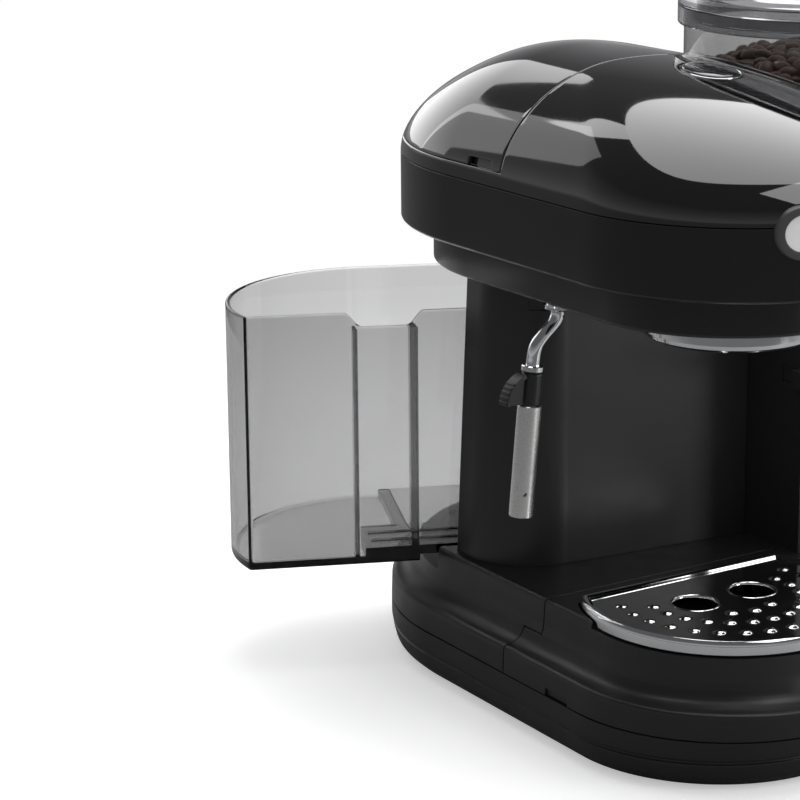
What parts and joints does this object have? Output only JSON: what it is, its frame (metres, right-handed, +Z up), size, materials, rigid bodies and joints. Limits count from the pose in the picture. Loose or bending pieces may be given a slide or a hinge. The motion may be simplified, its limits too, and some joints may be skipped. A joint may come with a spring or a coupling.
{
  "type": "espresso machine",
  "caption": "Twin-lobed bean-to-cup espresso machine with a round bean hopper, a side-drawn water tank, a steam wand and a slide-out drip tray.",
  "frame": {"origin": "middle of the footprint, on the surface that the feet stand on", "axes": "+X to the user's right, +Y to the back, +Z up"},
  "size_m": [0.3325, 0.334, 0.3314],
  "materials": {
    "satin_black": "satin",
    "gloss_black": "high gloss",
    "chrome": "polished",
    "steel": "brushed",
    "dark_metal": "painted",
    "rubber": "matte",
    "white_panel": "gloss",
    "smoke_clear": "clear gloss",
    "lid_smoke": "clear gloss",
    "dark_plastic": "satin",
    "beans": "roasted",
    "aluminium": "cast",
    "hose": "silicone",
    "board": "laminate"
  },
  "bodies": {
    "root": {"plinth": "satin_black", "base_plate": "dark_metal", "rubber_feet": "rubber", "base_screws": "steel", "deck": "satin_black", "column": "satin_black", "grinder_tower": "satin_black", "rear_cover": "satin_black", "cord_gland": "rubber", "head_tier": "satin_black", "head_band": "satin_black", "dome_cover": "gloss_black", "lid_hinge_pin": "steel", "fill_deck": "satin_black", "top_button_rim": "chrome", "panel_bezel": "chrome", "panel_plate": "white_panel", "brew_ring": "chrome", "brew_group": "steel", "group_seal": "rubber", "shower_screen": "steel", "shower_screw": "steel", "wand_socket": "chrome", "tank_spigot": "satin_black", "hopper_collar": "gloss_black", "burr_housing": "satin_black", "upper_burr": "steel", "grinder_motor": "dark_metal", "dose_chute": "satin_black", "holder_cradle": "satin_black", "pump": "dark_metal", "pump_mounts": "rubber", "thermoblock": "aluminium", "steam_valve": "dark_metal", "water_hoses": "hose", "circuit_board": "board"},
    "tray": {"tray_drawer": "satin_black"},
    "plate": {"drip_plate": "chrome"},
    "rear_lid": {"rear_lid": "gloss_black"},
    "start_button": {"top_button": "gloss_black"},
    "button_one": {"button_single": "chrome"},
    "button_two": {"button_double": "chrome"},
    "button_three": {"button_steam": "chrome"},
    "wand": {"steam_wand": "chrome", "wand_collar": "chrome", "wand_grip": "satin_black"},
    "sleeve": {"steam_sleeve": "chrome"},
    "tank": {"water_tank": "smoke_clear", "tank_valve": "dark_plastic", "valve_spring": "steel"},
    "hopper": {"bean_hopper": "smoke_clear", "coffee_beans": "beans"},
    "hopper_lid": {"hopper_lid": "lid_smoke"},
    "rotor": {"lower_burr": "steel", "burr_shaft": "steel"}
  },
  "joints": [
    {"name": "tray_slide", "type": "slide", "parent": "root", "child": "tray", "axis": [0, -1, 0], "range_m": [0, 0.11]},
    {"name": "plate_lift", "type": "slide", "parent": "tray", "child": "plate", "axis": [0, 0, 1], "range_m": [0, 0.04]},
    {"name": "lid_hinge", "type": "hinge", "parent": "root", "child": "rear_lid", "pos_m": [-0.0525, 0.1265, 0.256], "axis": [-1, 0, 0], "range_deg": [0, 72]},
    {"name": "start_press", "type": "slide", "parent": "root", "child": "start_button", "axis": [0, 0.1305, -0.9914], "range_m": [0, 0.002], "stiffness_N_per_m": 400},
    {"name": "button_one_press", "type": "slide", "parent": "root", "child": "button_one", "axis": [0.1908, 0.9816, 0], "range_m": [0, 0.0012], "stiffness_N_per_m": 300},
    {"name": "button_two_press", "type": "slide", "parent": "root", "child": "button_two", "axis": [0, 1, 0], "range_m": [0, 0.0012], "stiffness_N_per_m": 300},
    {"name": "button_three_press", "type": "slide", "parent": "root", "child": "button_three", "axis": [-0.1908, 0.9816, 0], "range_m": [0, 0.0012], "stiffness_N_per_m": 300},
    {"name": "wand_swivel", "type": "hinge", "parent": "root", "child": "wand", "pos_m": [-0.1145, -0.045, 0.2], "axis": [0, 0, 1], "range_deg": [-45, 90]},
    {"name": "sleeve_pull", "type": "slide", "parent": "wand", "child": "sleeve", "axis": [-0.0924, 0, -0.9957], "range_m": [0, 0.03]},
    {"name": "tank_slide", "type": "slide", "parent": "root", "child": "tank", "axis": [0.9219, -0.3875, 0], "range_m": [-0.04, 0.085]},
    {"name": "hopper_twist", "type": "hinge", "parent": "root", "child": "hopper", "pos_m": [0.0525, -0.03, 0.26], "axis": [0, 0, 1], "range_deg": [-30, 30]},
    {"name": "hopper_lid_lift", "type": "slide", "parent": "hopper", "child": "hopper_lid", "axis": [0, 0, 1], "range_m": [0, 0.05]},
    {"name": "burr_spin", "type": "hinge", "parent": "root", "child": "rotor", "pos_m": [0.0525, -0.03, 0.2], "axis": [0, 0, 1], "continuous": true}
  ]
}
